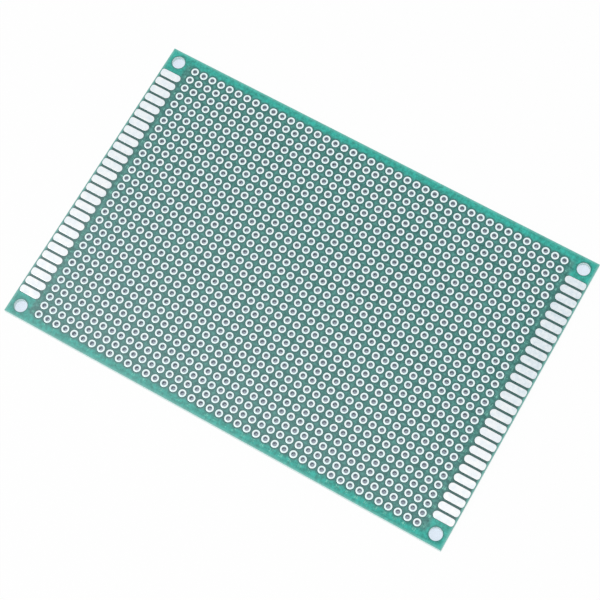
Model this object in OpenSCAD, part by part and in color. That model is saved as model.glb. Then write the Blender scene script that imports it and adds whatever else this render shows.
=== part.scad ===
// Double-sided prototype board: a drilled board of glass and epoxy with a green solder mask,
// a grid of tinned, plated holes, and a row of tinned edge fingers along each short edge.
// The origin is the middle of the underside. X runs along the board, Y across it, Z up.

/* [Board] */
// Length of the board, along X
board_l = 120; // [60:1:200]
// Width of the board, along Y
board_w = 80; // [40:1:150]
// Thickness of the board between its two layers of metal
board_t = 1.5; // [0.8:0.1:3]

/* [Plated holes] */
// Distance from one hole to the next
pitch = 2.54; // [2.3:0.01:3.5]
// Finished diameter of a plated hole
hole_d = 1; // [0.6:0.05:1.3]
// Thickness of the metal that lines a hole
barrel_t = 0.05; // [0.03:0.01:0.08]
// Diameter of the round pads
pad_d = 1.95; // [1.7:0.05:2.1]
// Height of the pads and fingers above the board, copper and tin together
metal_t = 0.05; // [0.03:0.01:0.1]
// Least rim between the outer rows of pads and the long edges
side_rim = 1.6; // [0.4:0.1:4]

/* [Edge fingers] */
// Length of an edge finger
finger_l = 5.45; // [4:0.05:8]
// Width of an edge finger, and so the diameter of its round inner end
finger_w = 1.9; // [1.4:0.05:2.1]
// Radius of the two corners at its outer end
finger_r = 0.65; // [0.2:0.05:0.65]
// Distance from its outer end to the short edge of the board
finger_inset = 0.3; // [0.1:0.05:1]
// Least gap between the outer fingers and the mounting holes
finger_to_mount = 1; // [0.4:0.1:3]
// Least gap between the first pads and what lies beyond them, fingers or mounting holes
end_room = 0.8; // [0.3:0.1:3]

/* [Mounting holes] */
// Diameter of a mounting hole
mount_d = 3.3; // [2.2:0.1:4.2]
// Distance of a mounting hole's axis from both of the edges beside it
mount_inset = 2.9; // [2.5:0.1:3.5]

/* [Hidden] */
// As many holes and fingers as the board has room for, set evenly about its middle
end_l = max(finger_inset + finger_l, mount_inset + mount_d / 2) + end_room;
columns = 1 + floor((board_l - 2 * end_l - pad_d) / pitch);
rows = 1 + floor((board_w - 2 * side_rim - pad_d) / pitch);
corner_w = mount_inset + mount_d / 2 + finger_to_mount;
fingers = 1 + floor((board_w - 2 * corner_w - finger_w) / pitch);

// Heights of the board's two faces and of the highest metal
board_z = metal_t;
board_top_z = board_z + board_t;
top_z = board_top_z + metal_t;

// Fineness of the round shapes
$fn = 48;

function row_name(row) = str("plated_row_", row < 10 ? "0" : "", row);

// Place of the i-th of count things that stand a pitch apart about the middle
function place(i, count) = (i - (count - 1) / 2) * pitch;

module each_column() for (i = [0 : columns - 1]) translate([place(i, columns), 0]) children();
module each_row() for (i = [0 : rows - 1]) translate([0, place(i, rows)]) children();
module each_finger() for (i = [0 : fingers - 1]) translate([0, place(i, fingers)]) children();

module each_mount()
    for (x = [-1, 1], y = [-1, 1])
        translate([x * (board_l / 2 - mount_inset), y * (board_w / 2 - mount_inset)]) children();

// The left end of the board is the right end turned half round
module right_end() children();
module left_end() rotate(180) children();

module board()
    color("#2fa18d") translate([0, 0, board_z]) linear_extrude(board_t)
        difference() {
            square([board_l, board_w], center = true);
            each_row() each_column() circle(d = hole_d + 2 * barrel_t);
            each_mount() circle(d = mount_d);
        }

// The middle finger of the right end, round inside and squarer at the board's edge
module finger_outline() {
    inner_x = finger_w / 2;
    corner_x = finger_l - finger_r;
    corner_y = finger_w / 2 - finger_r;
    translate([board_l / 2 - finger_inset - finger_l, 0]) {
        translate([inner_x, 0]) circle(d = finger_w);
        translate([inner_x, -finger_w / 2]) square([corner_x - inner_x, finger_w]);
        translate([corner_x, -corner_y]) square([finger_r, 2 * corner_y]);
        for (y = [-1, 1]) translate([corner_x, y * corner_y]) circle(finger_r);
    }
}

// The fingers of the right end, on either face
module edge_fingers(z)
    color("#e8eced") translate([0, 0, z]) linear_extrude(metal_t)
        each_finger() finger_outline();

// One plated hole: its section from the lower pad, up the barrel, to the upper pad, turned round
module plated_hole() {
    bore_r = hole_d / 2;
    drill_r = bore_r + barrel_t;
    rim_r = pad_d / 2;
    rotate_extrude() polygon([
        [bore_r, 0], [rim_r, 0], [rim_r, board_z], [drill_r, board_z],
        [drill_r, board_top_z], [rim_r, board_top_z], [rim_r, top_z], [bore_r, top_z]
    ]);
}

// Row 1 lies nearest the front edge, at low Y
module plated_row(row)
    color("#e8eced") translate([0, place(row - 1, rows)]) each_column() plated_hole();

board();
left_end() edge_fingers(board_top_z);  // edge_fingers_left_top
right_end() edge_fingers(board_top_z);  // edge_fingers_right_top
left_end() edge_fingers(0);  // edge_fingers_left_bottom
right_end() edge_fingers(0);  // edge_fingers_right_bottom
for (row = [1 : rows])
    plated_row(row);
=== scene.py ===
import math
import random

import bpy
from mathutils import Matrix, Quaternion, Vector
from mathutils.geometry import delaunay_2d_cdt


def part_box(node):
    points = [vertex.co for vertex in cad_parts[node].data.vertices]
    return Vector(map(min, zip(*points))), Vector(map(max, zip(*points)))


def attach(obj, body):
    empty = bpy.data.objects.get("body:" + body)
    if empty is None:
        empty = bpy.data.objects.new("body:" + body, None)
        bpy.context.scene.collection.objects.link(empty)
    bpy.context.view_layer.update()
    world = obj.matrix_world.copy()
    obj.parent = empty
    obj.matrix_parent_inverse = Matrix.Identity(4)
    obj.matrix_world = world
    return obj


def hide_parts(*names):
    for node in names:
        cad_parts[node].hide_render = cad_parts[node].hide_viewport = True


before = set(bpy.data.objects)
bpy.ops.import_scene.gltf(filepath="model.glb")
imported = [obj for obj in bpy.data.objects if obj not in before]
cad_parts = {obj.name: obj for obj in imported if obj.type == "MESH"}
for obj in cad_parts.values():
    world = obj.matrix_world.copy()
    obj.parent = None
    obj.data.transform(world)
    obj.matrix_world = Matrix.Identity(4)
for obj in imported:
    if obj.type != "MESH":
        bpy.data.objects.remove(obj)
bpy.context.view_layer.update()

MM = 0.001

# Sizes of the board, read from the frame
BOARD_LOW, BOARD_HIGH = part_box("board")
FINGER_LOW, FINGER_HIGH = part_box("edge_fingers_right_top")
ROW_NODES = sorted(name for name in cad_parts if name.startswith("plated_row_"))
ROW_LOW, ROW_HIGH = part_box(ROW_NODES[0])
TOP_Z = ROW_HIGH.z

# Sizes of the details, as in the solids
PITCH = 2.54 * MM
PAD_R = 0.975 * MM
BORE_R = 0.5 * MM
DRILL_R = 0.55 * MM
MOUNT_R = 1.65 * MM
MOUNT_INSET = 2.9 * MM
FINGER_W = 1.9 * MM
FINGER_CORNER_R = 0.65 * MM

# The mask's thickness, and how far it stops outside the metal and outside the mounting holes
MASK_T = 0.02 * MM
MASK_GAP = 0.05 * MM
MASK_MOUNT_GAP = 0.015 * MM

COLUMNS = 1 + round((ROW_HIGH.x - ROW_LOW.x - 2 * PAD_R) / PITCH)
ROWS = len(ROW_NODES)
FINGERS = 1 + round((FINGER_HIGH.y * 2 - FINGER_W) / PITCH)


def place(i, count):
    """Place of the i-th of count things that stand a pitch apart about the middle."""
    return (i - (count - 1) / 2) * PITCH


COLUMN_XS = [place(i, COLUMNS) for i in range(COLUMNS)]
ROW_YS = [place(i, ROWS) for i in range(ROWS)]
FINGER_YS = [place(i, FINGERS) for i in range(FINGERS)]

# The camera, turned about an axis whose length is the angle in radians
CAMERA_AT = Vector((91.546, -123.801, 434.542)) * MM
CAMERA_TURN = Vector((0.31425, 0.12682, 0.51047))
CAMERA_LENS = 114.24
CAMERA_SENSOR = 36.0
CAMERA_NEAREST = 0.01
CAMERA_FARTHEST = 10


def make_camera():
    data = bpy.data.cameras.new("camera")
    data.sensor_width = CAMERA_SENSOR
    data.lens = CAMERA_LENS
    data.clip_start = CAMERA_NEAREST
    data.clip_end = CAMERA_FARTHEST
    camera = bpy.data.objects.new("camera", data)
    camera.rotation_mode = "QUATERNION"
    camera.rotation_quaternion = Quaternion(CAMERA_TURN.normalized(), CAMERA_TURN.length)
    camera.location = CAMERA_AT
    bpy.context.scene.collection.objects.link(camera)
    bpy.context.scene.camera = camera


make_camera()


# Shader nodes
# The sockets of a colour mix go by number, because a Mix node has several of each name
MIX_INPUTS = (0, 6, 7)
MIX_OUTPUT = 2

# How far a wave's phase moves, in radians, as its wobble goes from 0 to 1
WOBBLE = 5.0


class Shader:
    """The nodes of one material or world, with short calls for the ones used here."""

    def __init__(self, owner):
        self.owner = owner
        owner.use_nodes = True
        self.nodes = owner.node_tree.nodes
        self.links = owner.node_tree.links
        self.nodes.clear()
        kind = "World" if isinstance(owner, bpy.types.World) else "Material"
        self.output = self.nodes.new("ShaderNodeOutput" + kind)

    def node(self, kind, settings=None, **inputs):
        """A new node. An underscore in an input's name stands for a space."""
        made = self.nodes.new("ShaderNode" + kind)
        for key, value in (settings or {}).items():
            setattr(made, key, value)
        for key, value in inputs.items():
            self.feed(made.inputs[key.replace("_", " ")], value)
        return made

    def feed(self, socket, value):
        """Link the socket to another one, or set it to a plain value."""
        if isinstance(value, bpy.types.NodeSocket):
            self.links.new(value, socket)
        else:
            socket.default_value = value

    def position(self):
        """Where the point is on the board, in metres."""
        return self.node("TexCoord").outputs["Object"]

    def xyz(self):
        """The three coordinates of the point, in metres."""
        return self.node("SeparateXYZ", Vector=self.position()).outputs

    def noise(self, scale, detail, roughness=0.5, vector=None):
        """Noise about 0.5, with its largest features 1 / scale metres apart."""
        vector = vector or self.position()
        made = self.node("TexNoise", Scale=scale, Detail=detail, Roughness=roughness, Vector=vector)
        return made.outputs["Fac"]

    def calc(self, operation, a, b=0.0):
        made = self.node("Math", {"operation": operation})
        self.feed(made.inputs[0], a)
        self.feed(made.inputs[1], b)
        return made.outputs[0]

    def plus(self, a, b):
        return self.calc("ADD", a, b)

    def minus(self, a, b):
        return self.calc("SUBTRACT", a, b)

    def times(self, first, *others):
        product = first
        for value in others:
            product = self.calc("MULTIPLY", product, value)
        return product

    def distance(self, away_x, away_y):
        squares = [self.times(away, away) for away in (away_x, away_y)]
        return self.calc("SQRT", self.plus(*squares))

    def wave(self, value, length, wobble):
        """A sine wave of that length along the value, pushed to and fro by the wobble."""
        phase = self.plus(self.times(value, 2 * math.pi / length), self.times(wobble, WOBBLE))
        return self.calc("SINE", phase)

    def between(self, value, from_low, from_high, low=0.0, high=1.0, smooth=False):
        """The value, taken from one range to another and held inside it."""
        kind = "SMOOTHSTEP" if smooth else "LINEAR"
        made = self.node("MapRange", {"interpolation_type": kind})
        for socket, given in zip(made.inputs, (value, from_low, from_high, low, high)):
            self.feed(socket, given)
        return made.outputs[0]

    def patches(self, noise, reach, low=0.0, high=1.0):
        """The noise within reach of 0.5, spread from low to high: a small reach gives hard edges."""
        return self.between(noise, 0.5 - reach, 0.5 + reach, low, high)

    def mix(self, share, a, b):
        """Colour a, with that share of colour b."""
        made = self.node("Mix", {"data_type": "RGBA"})
        for number, given in zip(MIX_INPUTS, (share, a, b)):
            self.feed(made.inputs[number], given)
        return made.outputs[MIX_OUTPUT]

    def bump(self, height, distance, strength, normal=None):
        made = self.node("Bump", Height=height, Distance=distance, Strength=strength)
        if normal:
            self.links.new(normal, made.inputs["Normal"])
        return made.outputs["Normal"]

    def surface(self, socket):
        """The finished material or world."""
        self.links.new(socket, self.output.inputs["Surface"])
        return self.owner

    def principled(self, **inputs):
        return self.surface(self.node("BsdfPrincipled", **inputs).outputs[0])


def new_material(name):
    return Shader(bpy.data.materials.new(name))


def linear(red, green, blue):
    """An sRGB colour in 0 to 255 as the shader's linear one."""
    def one(v):
        v /= 255
        return v / 12.92 if v <= 0.04045 else ((v + 0.055) / 1.055) ** 2.4
    return (one(red), one(green), one(blue), 1.0)


WHITE = (1.0, 1.0, 1.0, 1.0)


def from_edges(shader, x, y):
    """How far in a point lies from the nearer short edge, and from the nearer long edge."""
    from_end = shader.minus(BOARD_HIGH.x, shader.calc("ABSOLUTE", x))
    from_side = shader.minus(BOARD_HIGH.y, shader.calc("ABSOLUTE", y))
    return from_end, from_side


def from_nearest_pad(shader, x, y):
    """Distance from the axis of the nearest hole. The middle of the board is between two of them."""
    away = []
    for value, count in ((x, COLUMNS), (y, ROWS)):
        cell = shader.calc("FLOOR", shader.calc("DIVIDE", value, PITCH))
        centre = shader.times(shader.plus(cell, 0.5), PITCH)
        centre = shader.calc("MINIMUM", centre, place(count - 1, count))
        centre = shader.calc("MAXIMUM", centre, place(0, count))
        away.append(shader.minus(value, centre))
    return shader.distance(*away)


# The solder mask
# Its zones, each by where its change begins and ends, inwards from the short or the long edges
FIELD_FROM_END = (4.6 * MM, 6.0 * MM)
FIELD_FROM_SIDE = (1.4 * MM, 3.0 * MM)
GAPS_FROM_END = (4.8 * MM, 6.8 * MM)
GAPS_FROM_SIDE = (5.6 * MM, 6.4 * MM)
TIPS_FROM_END = (0.3 * MM, 0.7 * MM)
# Painted light along the edges reaches this far in
EDGE_LIGHT_REACH = (0.0, 0.8 * MM)
LONG_MARGIN = (2.0 * MM, 4.0 * MM)

# Its painted shade round each pad and mounting hole, by distance from the axis of a hole
PAD_SHADE_RING = (1.0 * MM, 1.65 * MM)
MOUNT_SHADE_RING = (1.7 * MM, 2.1 * MM)

# Its painted light, growing towards low Y with a share of X, and where the long margins get less of it,
# along X
LIGHT_SHARE_OF_X = 0.35
LIGHT_REACH = 46.0 * MM
LIGHT_MOST = 0.22
LESS_LIGHT_X = (-20.0 * MM, 50.0 * MM)

# Its tones. A pair is the dark and the pale patches. The margins' pair holds painted light, and the
# field's and the gaps' pairs hold painted shade
LIT_MARGIN_TONES = linear(0, 142, 128), linear(42, 196, 179)
SHADED_FIELD_TONES = linear(8, 101, 94), linear(86, 164, 154)
SHADED_GAP_TONES = linear(30, 74, 72), linear(52, 92, 90)
# Painted shade round the pads and mounting holes
RING_SHADE_TONE = linear(34, 92, 92)
# Painted light along the edges
EDGE_LIGHT_TONE = linear(146, 212, 202)
# Painted light towards low Y
LOW_Y_LIGHT_TONE = linear(170, 186, 190)
THREAD_TONE = linear(108, 202, 184)
BETWEEN_THREADS_TONE = linear(26, 96, 90)

# The glass cloth under it
WEAVE_PITCH = 0.5 * MM


def weave(shader, x, y):
    """Height of the glass cloth, from -1 to 1: two crossed sets of threads."""
    wobble = shader.noise(900, 2)
    return shader.times(*[shader.wave(along, WEAVE_PITCH, wobble) for along in (x, y)])


def zones(shader, from_end, from_side):
    """Colour of the mask in the margins, in the field of holes and in the gaps between the fingers:
    painted light in the margins, painted shade in the field, and darker painted shade in the gaps.
    """
    field = shader.times(
        shader.between(from_end, *FIELD_FROM_END, smooth=True),
        shader.between(from_side, *FIELD_FROM_SIDE, smooth=True),
    )
    gaps = shader.times(
        shader.between(from_end, *GAPS_FROM_END, 1.0, 0.0, smooth=True),
        shader.between(from_side, *GAPS_FROM_SIDE, smooth=True),
        shader.between(from_end, *TIPS_FROM_END, 0.6, 1.0),
    )
    mottle = shader.patches(shader.noise(1100, 6, 0.75), 0.12)
    # Painted light in the margins and painted shade in the field of holes, each in random patches
    colour = shader.mix(field, shader.mix(mottle, *LIT_MARGIN_TONES), shader.mix(mottle, *SHADED_FIELD_TONES))
    # Painted shade darkens the gaps between the fingers
    return shader.mix(gaps, colour, shader.mix(mottle, *SHADED_GAP_TONES))


def dips(shader, x, y, from_end, from_side):
    """How much painted shade darkens the mask round each pad and mounting hole."""
    to_mount = shader.distance(shader.minus(from_end, MOUNT_INSET), shader.minus(from_side, MOUNT_INSET))
    shade_by_pad = shader.between(from_nearest_pad(shader, x, y), *PAD_SHADE_RING, 0.85, 0.0, smooth=True)
    shade_by_mount = shader.between(to_mount, *MOUNT_SHADE_RING, 0.7, 0.0)
    return shader.calc("MAXIMUM", shade_by_pad, shade_by_mount)


def thinness(shader, x, y, from_side):
    """Painted light makes the mask paler towards low Y, and a little towards low X. At high X the margins
    get less of it.
    """
    slope = shader.plus(y, shader.times(x, LIGHT_SHARE_OF_X))
    toward = shader.between(slope, -LIGHT_REACH, LIGHT_REACH, 1.0, 0.0)
    in_margin = shader.between(from_side, *LONG_MARGIN, 0.7, 0.0)
    at_high_x = shader.between(x, *LESS_LIGHT_X)
    left = shader.minus(1.0, shader.times(in_margin, at_high_x))
    return shader.times(toward, toward, LIGHT_MOST, left)


def mask_material():
    """Teal solder mask. Painted light makes it clear at the margins, and painted shade makes it darker
    and greyer between the pads and fingers.
    """
    shader = new_material("solder_mask")
    x, y, _ = shader.xyz()
    from_end, from_side = from_edges(shader, x, y)
    colour = zones(shader, from_end, from_side)
    # Painted shade darkens it round the pads and mounting holes, and painted light makes it paler along
    # the edges and towards low Y
    colour = shader.mix(dips(shader, x, y, from_end, from_side), colour, RING_SHADE_TONE)
    # Painted light makes the mask paler along the board's edges
    light_by_end = shader.between(from_end, *EDGE_LIGHT_REACH, 0.6, 0.0, smooth=True)
    light_by_side = shader.between(from_side, *EDGE_LIGHT_REACH, 0.5, 0.0, smooth=True)
    colour = shader.mix(shader.calc("MAXIMUM", light_by_end, light_by_side), colour, EDGE_LIGHT_TONE)
    # Painted light, paler towards low Y
    colour = shader.mix(thinness(shader, x, y, from_side), colour, LOW_Y_LIGHT_TONE)
    threads = weave(shader, x, y)
    colour = shader.mix(shader.between(threads, 0.2, 1.0, 0.0, 0.3), colour, THREAD_TONE)
    colour = shader.mix(shader.between(threads, -1.0, -0.2, 0.25, 0.0), colour, BETWEEN_THREADS_TONE)
    roughness = shader.patches(shader.noise(500, 3), 0.2, 0.26, 0.38)
    normal = shader.bump(threads, 0.004 * MM, 0.5)
    normal = shader.bump(shader.noise(2500, 3), 0.006 * MM, 0.4, normal)
    return shader.principled(Base_Color=colour, Roughness=roughness, Normal=normal)


# The tin
# Painted shade darkens it towards high Y, and at the left end half as much as at the right one
TIN_SHADE_Y = (-28.0 * MM, 15.0 * MM)
TIN_SHADE_LEFT = 0.5
TIN_SHADE_TONE = linear(168, 194, 206)
PAD_TONES = linear(230, 252, 253), linear(245, 255, 255)
PAD_SHADE_DEPTH = 0.05
FINGER_TONES = linear(238, 245, 250), linear(255, 255, 255)
FINGER_SHADE_DEPTH = 0.33

# In the holes, painted shade makes it darkest at the mouth, and fades down to this depth
MOUTH_SHADE_DEPTH = 0.9 * MM
MOUTH_SHADE_TONES = linear(148, 161, 168), linear(180, 192, 200)
DEEP_TONES = linear(216, 225, 232), linear(238, 246, 250)


def tin_material(name, tones, shade_depth):
    """Bright tin, with painted shade in patches that cover more of it towards high X and high Y."""
    shader = new_material(name)
    x, y, _ = shader.xyz()
    high_y = shader.between(y, *TIN_SHADE_Y, smooth=True)
    high_x = shader.between(x, BOARD_LOW.x, BOARD_HIGH.x, TIN_SHADE_LEFT, 1.0)
    patchy_shade = shader.patches(shader.noise(1300, 4, 0.7), 0.15, 0.5 * shade_depth, 1.5 * shade_depth)
    colour = shader.mix(shader.patches(shader.noise(800, 4, 0.65), 0.15), *tones)
    # Painted shade, in patches, growing towards high X and high Y
    colour = shader.mix(shader.times(high_y, high_x, patchy_shade), colour, TIN_SHADE_TONE)
    roughness = shader.patches(shader.noise(1500, 3), 0.2, 0.18, 0.34)
    normal = shader.bump(shader.noise(1400, 2), 0.012 * MM, 0.5)
    return shader.principled(Base_Color=colour, Metallic=1.0, Roughness=roughness, Normal=normal)


def bore_material():
    """The tin in the holes: painted shade makes it darker near the mouth than deep down."""
    shader = new_material("tin_in_holes")
    _, _, z = shader.xyz()
    mouth_shade = shader.between(z, BOARD_HIGH.z - MOUTH_SHADE_DEPTH, BOARD_HIGH.z)
    tone = shader.noise(3000, 3)
    # Painted shade at the mouth of each hole
    colour = shader.mix(mouth_shade, shader.mix(tone, *DEEP_TONES), shader.mix(tone, *MOUTH_SHADE_TONES))
    normal = shader.bump(shader.noise(5000, 3), 0.01 * MM, 0.5)
    return shader.principled(Base_Color=colour, Metallic=0.1, Roughness=0.6, Normal=normal)


# The laminate: the thickness of one cloth, and how much flatter than long its streaks are
CLOTH_T = 0.19 * MM
STREAK_FLATNESS = 14.0
WALL_TONES = linear(204, 231, 228), linear(242, 253, 252)
# The faces' dark tones are painted shade in the thin rings
FACE_SHADE_TONES = linear(52, 78, 72), linear(84, 108, 98)


def laminate_material():
    """Pale glass and epoxy. Its cut walls show the layers of cloth and the ends of the threads."""
    shader = new_material("laminate")
    _, _, z = shader.xyz()
    flattened = shader.node("Mapping", Vector=shader.position(), Scale=(1.0, 1.0, STREAK_FLATNESS))
    streaks = shader.patches(shader.noise(600, 3, 0.6, flattened.outputs[0]), 0.15)
    layers = shader.between(shader.wave(z, CLOTH_T, shader.noise(400, 3)), -1.0, 1.0)
    tone = shader.times(shader.plus(layers, streaks), 0.5)
    colour = shader.mix(tone, *WALL_TONES)
    roughness = shader.patches(shader.noise(1500, 2), 0.2, 0.5, 0.7)
    normal = shader.bump(tone, 0.03 * MM, 0.6)
    return shader.principled(Base_Color=colour, Roughness=roughness, Normal=normal)


def bare_face_material():
    """The laminate's two faces, which show only in the thin rings round the metal. Their dark colour is
    painted shade.
    """
    shader = new_material("shaded_laminate_face")
    colour = shader.mix(shader.noise(2000, 3), *FACE_SHADE_TONES)
    normal = shader.bump(shader.noise(2500, 2), 0.01 * MM, 0.5)
    return shader.principled(Base_Color=colour, Roughness=0.6, Normal=normal)


PRINT_TONES = linear(70, 150, 138), linear(146, 222, 202)


def print_material():
    """The worn print of the numbers."""
    shader = new_material("number_print")
    colour = shader.mix(shader.patches(shader.noise(1100, 4, 0.6), 0.1), *PRINT_TONES)
    normal = shader.bump(shader.noise(4000, 2), 0.004 * MM, 0.4)
    return shader.principled(Base_Color=colour, Roughness=0.55, Normal=normal)


MASK = mask_material()
PAD_TIN = tin_material("tin_on_pads", PAD_TONES, PAD_SHADE_DEPTH)
FINGER_TIN = tin_material("tin_on_fingers", FINGER_TONES, FINGER_SHADE_DEPTH)
BORE = bore_material()
LAMINATE = laminate_material()
SHADED_FACE = bare_face_material()
PRINT = print_material()


# Meshes
# An edge that turns by more than this stays sharp
SHARP_ANGLE = math.radians(48)


def make_piece(name, points, faces, materials, stands_for=(), which=None):
    """One mesh that rides on the board, where which gives the number of each face's material."""
    mesh = bpy.data.meshes.new(name)
    mesh.from_pydata(points, [], faces)
    for material in materials:
        mesh.materials.append(material)
    if which:
        mesh.polygons.foreach_set("material_index", which)
    mesh.shade_smooth()
    mesh.set_sharp_from_angle(angle=SHARP_ANGLE)
    mesh.validate()
    piece = bpy.data.objects.new(name, mesh)
    bpy.context.scene.collection.objects.link(piece)
    if stands_for:
        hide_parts(*stands_for)
    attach(piece, "root")


# The fineness of the round shapes: corners in a circle, and steps in a quarter or half circle
DRILL_CORNERS = 12
PAD_OPENING_CORNERS = 20
MOUNT_CORNERS = 96
PAD_TURNS = 16
FINGER_CORNER_STEPS = 6
FINGER_END_STEPS = 14


def circle(x, y, radius, count):
    """Points round a circle, anticlockwise."""
    turns = [2 * math.pi * (i + 0.5) / count for i in range(count)]
    return [(x + radius * math.cos(t), y + radius * math.sin(t)) for t in turns]


def arc(x, y, radius, start, turn, steps):
    """Points along an arc, anticlockwise, from its start and its turn in degrees."""
    turns = [math.radians(start + turn * i / steps) for i in range(steps + 1)]
    return [(x + radius * math.cos(t), y + radius * math.sin(t)) for t in turns]


def finger_outline(y, inset, side):
    """Points round the finger at y, drawn in by inset, at the right end for side 1 or the left for -1."""
    end_r = FINGER_W / 2 - inset
    corner_r = FINGER_CORNER_R - inset
    corner_x = FINGER_HIGH.x - FINGER_CORNER_R
    corner_y = FINGER_W / 2 - FINGER_CORNER_R
    points = arc(FINGER_LOW.x + FINGER_W / 2, 0.0, end_r, 90, 180, FINGER_END_STEPS)
    points += arc(corner_x, -corner_y, corner_r, 270, 90, FINGER_CORNER_STEPS)
    points += arc(corner_x, corner_y, corner_r, 0, 90, FINGER_CORNER_STEPS)
    return [(side * px, side * py + y) for px, py in points]


def mounts():
    """Centres of the mounting holes."""
    x, y = BOARD_HIGH.x - MOUNT_INSET, BOARD_HIGH.y - MOUNT_INSET
    return [(sx * x, sy * y) for sx in (-1, 1) for sy in (-1, 1)]


# The board's outline is cut into triangles in millimetres. This choice keeps the ones inside it
CUT_INSIDE = 1
CUT_TOLERANCE = 1e-6


def plate(outline, openings, low_z, high_z):
    """Points and faces of a flat plate with straight openings, which are round or long and convex."""
    flat, edges, ring_of = [], [], []
    for number, ring in enumerate([outline] + openings):
        first = len(flat)
        flat += [Vector((x / MM, y / MM)) for x, y in ring]
        edges += [(first + i, first + (i + 1) % len(ring)) for i in range(len(ring))]
        ring_of += [number] * len(ring)
    cut = delaunay_2d_cdt(flat, edges, [], CUT_INSIDE, CUT_TOLERANCE)
    level, _, triangles, sources, _, _ = cut
    ring_of = [ring_of[source[0]] for source in sources]
    # A triangle with its corners on one ring closes an opening
    triangles = [t for t in triangles if len({ring_of[corner] for corner in t}) > 1]
    count = len(level)
    points = [(p.x * MM, p.y * MM, z) for z in (high_z, low_z) for p in level]
    faces = [tuple(t) for t in triangles]
    faces += [(count + c, count + b, count + a) for a, b, c in triangles]
    # An edge that only one triangle has gets a wall
    directed = {edge for a, b, c in triangles for edge in ((a, b), (b, c), (c, a))}
    for a, b in sorted(directed):
        if (b, a) not in directed:
            faces.append((b, a, count + a, count + b))
    return points, faces


BOARD_OUTLINE = [
    (BOARD_LOW.x, BOARD_LOW.y),
    (BOARD_HIGH.x, BOARD_LOW.y),
    (BOARD_HIGH.x, BOARD_HIGH.y),
    (BOARD_LOW.x, BOARD_HIGH.y),
]
CORE_LOW_Z = BOARD_LOW.z + MASK_T
CORE_HIGH_Z = BOARD_HIGH.z - MASK_T


def make_laminate():
    openings = [circle(x, y, DRILL_R, DRILL_CORNERS) for y in ROW_YS for x in COLUMN_XS]
    openings += [circle(x, y, MOUNT_R, MOUNT_CORNERS) for x, y in mounts()]
    points, faces = plate(BOARD_OUTLINE, openings, CORE_LOW_Z, CORE_HIGH_Z)
    # Walls have four corners, and the triangles are the two faces
    which = [1 if len(face) == 3 else 0 for face in faces]
    make_piece("laminate_core", points, faces, [LAMINATE, SHADED_FACE], ["board"], which)


def make_mask(name, low_z, high_z):
    pad_r, mount_r = PAD_R + MASK_GAP, MOUNT_R + MASK_MOUNT_GAP
    openings = [circle(x, y, pad_r, PAD_OPENING_CORNERS) for y in ROW_YS for x in COLUMN_XS]
    openings += [circle(x, y, mount_r, MOUNT_CORNERS) for x, y in mounts()]
    openings += [finger_outline(y, -MASK_GAP, side) for side in (-1, 1) for y in FINGER_YS]
    points, faces = plate(BOARD_OUTLINE, openings, low_z, high_z)
    make_piece(name, points, faces, [MASK])


# Section of a plated hole: distance from its axis and height, measured from the top of the metal
# for the rim and mouth on top, and from the underside for the lower rim
TOP_RIM = [
    (PAD_R, -0.07 * MM),
    (PAD_R, -0.024 * MM),
    (0.955 * MM, -0.005 * MM),
    (0.85 * MM, 0.0),
    (0.6 * MM, -0.001 * MM),
    (0.545 * MM, -0.012 * MM),
]
MOUTH = (BORE_R, -0.05 * MM)
LOWER_RIM = [
    (BORE_R, 0.05 * MM),
    (0.54 * MM, 0.006 * MM),
    (0.75 * MM, 0.0),
    (0.95 * MM, 0.01 * MM),
    (PAD_R, 0.07 * MM),
]

# Along the section, the points that lean with the tin on top, and the faces in the bore and its mouths
LEANING_POINTS = range(2, 6)
BORE_FACES = range(4, 8)

# The most that the tin on a pad lies lower, that it leans, and that a finger's tin lies lower
PAD_SINK = 0.012 * MM
PAD_LEAN = 0.006 * MM
FINGER_SINK = 0.008 * MM


def hole_section(sink):
    """Points of the section. The tin between the foot of the upper rim and the mouth sinks."""
    foot, *rim = TOP_RIM
    section = [(foot[0], TOP_Z + foot[1])]
    section += [(r, TOP_Z + z - sink) for r, z in rim]
    section.append((MOUTH[0], TOP_Z + MOUTH[1]))
    return section + LOWER_RIM + [(DRILL_R, CORE_LOW_Z), (DRILL_R, CORE_HIGH_Z)]


def make_plated_row(number, node, chance):
    points, faces, which = [], [], []
    y = ROW_YS[number]
    for x in COLUMN_XS:
        section = hole_section(chance.uniform(0.0, PAD_SINK))
        lean = chance.uniform(0.0, PAD_LEAN)
        toward = chance.uniform(0, 2 * math.pi)
        first, steps = len(points), len(section)
        for turn in range(PAD_TURNS):
            t = 2 * math.pi * turn / PAD_TURNS
            for step, (r, z) in enumerate(section):
                tilt = lean * (math.cos(t - toward) - 1) * r / PAD_R if step in LEANING_POINTS else 0.0
                points.append((x + r * math.cos(t), y + r * math.sin(t), z + tilt))
        for turn in range(PAD_TURNS):
            here, there = first + turn * steps, first + (turn + 1) % PAD_TURNS * steps
            for step in range(steps):
                after = (step + 1) % steps
                faces.append((here + step, there + step, there + after, here + after))
                which.append(1 if step in BORE_FACES else 0)
    name = "tinned_holes_" + node[-2:]
    make_piece(name, points, faces, [PAD_TIN, BORE], [node], which)


# A finger's tin rises from its rim to a flat top: how far in, and how far from the top
FINGER_RISE = [
    (0.0, -0.07 * MM),
    (0.0, -0.03 * MM),
    (0.03 * MM, -0.01 * MM),
    (0.12 * MM, -0.002 * MM),
    (0.35 * MM, 0.0),
]


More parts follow.
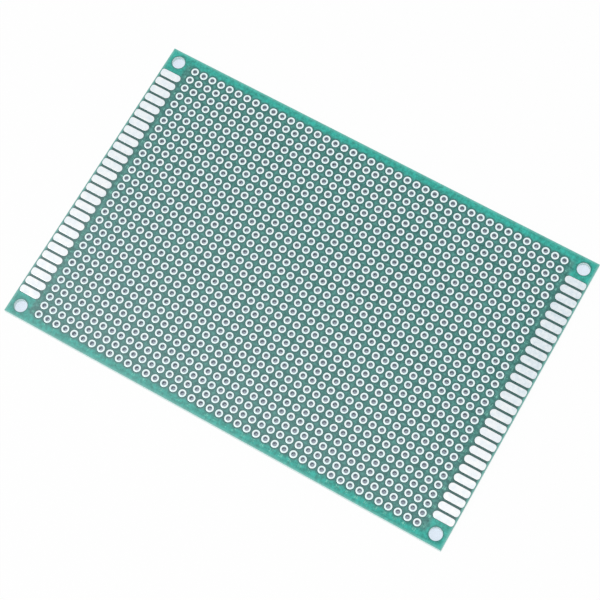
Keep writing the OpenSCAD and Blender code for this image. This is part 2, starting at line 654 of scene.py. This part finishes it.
def make_fingers(side, end, on_top, chance):
    points, faces = [], []
    for y in FINGER_YS:
        sink = chance.uniform(0.0, FINGER_SINK)
        first = len(points)
        for inset, drop in FINGER_RISE:
            height = TOP_Z + drop - (sink if inset > 0 else 0.0)
            ring = finger_outline(y, inset, side)
            points += [(px, py, height if on_top else TOP_Z - height) for px, py in ring]
        count = len(ring)
        for level in range(len(FINGER_RISE) - 1):
            start = first + level * count
            for i in range(count):
                a, b = start + i, start + (i + 1) % count
                faces.append((a, b, b + count, a + count))
        last = first + (len(FINGER_RISE) - 1) * count
        faces.append(tuple(range(last, last + count)))
        faces.append(tuple(range(first + count - 1, first - 1, -1)))
    if not on_top:
        faces = [tuple(reversed(face)) for face in faces]
    place_name = f"{end}_top" if on_top else f"{end}_bottom"
    node = "edge_fingers_" + place_name
    make_piece("tinned_fingers_" + place_name, points, faces, [FINGER_TIN], [node])


# The numbers. DIGIT_SHARE is a digit's height as a share of the font's size
PRINT_T = 0.006 * MM
NUMBER_H = 0.78 * MM
DIGIT_SHARE = 0.72
DIGIT_FINENESS = 2
ROW_NUMBER_X = 53.62 * MM
COLUMN_NUMBER_Y = -38.6 * MM


def make_numbers(name, numbers, z):
    """One piece of small plain numbers on the face at z, from a list of number, x and y."""
    made = []
    for number, x, y in numbers:
        text = bpy.data.curves.new("number", "FONT")
        text.body = str(number)
        text.size = NUMBER_H / DIGIT_SHARE
        text.align_x = "CENTER"
        text.align_y = "CENTER"
        text.resolution_u = DIGIT_FINENESS
        text.extrude = PRINT_T / 2
        piece = bpy.data.objects.new("number", text)
        piece.location = (x, y, z + PRINT_T / 2)
        bpy.context.scene.collection.objects.link(piece)
        made.append(piece)
    bpy.context.view_layer.update()
    graph = bpy.context.evaluated_depsgraph_get()
    points, faces = [], []
    for piece in made:
        mesh = bpy.data.meshes.new_from_object(piece.evaluated_get(graph))
        first = len(points)
        points += [tuple(piece.matrix_world @ vertex.co) for vertex in mesh.vertices]
        faces += [tuple(first + i for i in face.vertices) for face in mesh.polygons]
        curve = piece.data
        bpy.data.objects.remove(piece)
        bpy.data.curves.remove(curve)
        bpy.data.meshes.remove(mesh)
    make_piece(name, points, faces, [PRINT])


# How the tin differs from pad to pad, the same in every run
SEED = 42
CHANCE = random.Random(SEED)

make_laminate()
make_mask("mask_top", CORE_HIGH_Z, BOARD_HIGH.z)
make_mask("mask_bottom", BOARD_LOW.z, CORE_LOW_Z)
for row_number, row_node in enumerate(ROW_NODES):
    make_plated_row(row_number, row_node, CHANCE)
for finger_side, finger_end in ((-1, "left"), (1, "right")):
    for is_top in (True, False):
        make_fingers(finger_side, finger_end, is_top, CHANCE)
ROW_NUMBERS = [(ROWS - row, side * ROW_NUMBER_X, ROW_YS[row]) for row in range(ROWS) for side in (-1, 1)]
COLUMN_NUMBERS = [(column + 1, COLUMN_XS[column], COLUMN_NUMBER_Y) for column in range(COLUMNS)]
make_numbers("row_numbers", ROW_NUMBERS, BOARD_HIGH.z)
make_numbers("column_numbers", COLUMN_NUMBERS, BOARD_HIGH.z)


# The floor and the light
FLOOR_HALF = 1.5
WORLD_LEVEL = 0.8
KEY_POWER = 0.9
KEY_AT = Vector((-0.3, -0.45, 0.55))
KEY_SIZE = 0.5

# The floor's paper, which turns into the shaded paper under the board over this distance
PAPER = (0.97, 0.97, 0.97, 1.0)
SHADED_PAPER = linear(236, 242, 255)
SHADED_GLOW = linear(232, 243, 255)
SHADE_BEGINS = (0.0, 0.2 * MM)

# How much of the paper's look, where it is seen directly, is a glow and not its light and shadow: beside
# the board an even white, and painted light through the mounting holes and through the other holes, at
# low and at high X
OPEN_GLOW = 0.94
MOUNT_PAINTED_LIGHT = 0.7
FIELD_PAINTED_LIGHT_LOW_X = 0.36
FIELD_PAINTED_LIGHT_HIGH_X = 0.2


def seen_directly(shader):
    """1 on camera, glossy and transmission rays, and 0 on the rays that light the object."""
    path = shader.node("LightPath")
    seen = shader.calc("MAXIMUM", path.outputs["Is Camera Ray"], path.outputs["Is Glossy Ray"])
    return shader.calc("MAXIMUM", seen, path.outputs["Is Transmission Ray"])


def floor_material():
    """White paper. Under the board it shows its own shaded colour, a little blue, through the holes, with
    painted light that is stronger under the mounting holes and weaker towards high X.
    """
    shader = new_material("floor")
    x, y, _ = shader.xyz()
    from_end, from_side = from_edges(shader, x, y)
    outside = shader.between(shader.calc("MINIMUM", from_end, from_side), *SHADE_BEGINS, 1.0, 0.0)
    by_mounts = shader.calc("LESS_THAN", from_end, BOARD_HIGH.x - FINGER_LOW.x)
    # Painted light under the board, seen through the holes: more under the mounting holes, and less
    # towards high X
    field_painted_light = shader.between(x, BOARD_LOW.x, BOARD_HIGH.x, FIELD_PAINTED_LIGHT_LOW_X, FIELD_PAINTED_LIGHT_HIGH_X)
    share = shader.between(by_mounts, 0.0, 1.0, field_painted_light, MOUNT_PAINTED_LIGHT)
    share = shader.between(outside, 0.0, 1.0, share, OPEN_GLOW)
    lit = shader.node("BsdfDiffuse", Color=shader.mix(outside, SHADED_PAPER, PAPER))
    glow = shader.node("Emission", Color=shader.mix(outside, SHADED_GLOW, WHITE))
    both = shader.node("MixShader", Fac=shader.times(seen_directly(shader), share))
    shader.feed(both.inputs[1], lit.outputs[0])
    shader.feed(both.inputs[2], glow.outputs[0])
    return shader.surface(both.outputs[0])


def make_floor():
    mesh = bpy.data.meshes.new("floor")
    corners = [(-1, -1), (1, -1), (1, 1), (-1, 1)]
    mesh.from_pydata([(x * FLOOR_HALF, y * FLOOR_HALF, 0) for x, y in corners], [], [(0, 1, 2, 3)])
    mesh.materials.append(floor_material())
    floor = bpy.data.objects.new("floor", mesh)
    bpy.context.scene.collection.objects.link(floor)


def make_world():
    """White where it is seen directly, and a plain level of light on the object."""
    world = bpy.data.worlds.new("studio")
    bpy.context.scene.world = world
    shader = Shader(world)
    level = shader.between(seen_directly(shader), 0.0, 1.0, WORLD_LEVEL, 1.0)
    shader.surface(shader.node("Background", Color=WHITE, Strength=level).outputs[0])


def make_key_light():
    data = bpy.data.lights.new("key", "AREA")
    data.shape = "SQUARE"
    data.size = KEY_SIZE
    data.energy = KEY_POWER
    key = bpy.data.objects.new("key", data)
    key.location = KEY_AT
    key.rotation_mode = "QUATERNION"
    key.rotation_quaternion = (-KEY_AT).to_track_quat("-Z", "Y")
    bpy.context.scene.collection.objects.link(key)


make_floor()
make_world()
make_key_light()
bpy.context.scene.view_settings.view_transform = "Standard"

bpy.context.view_layer.update()
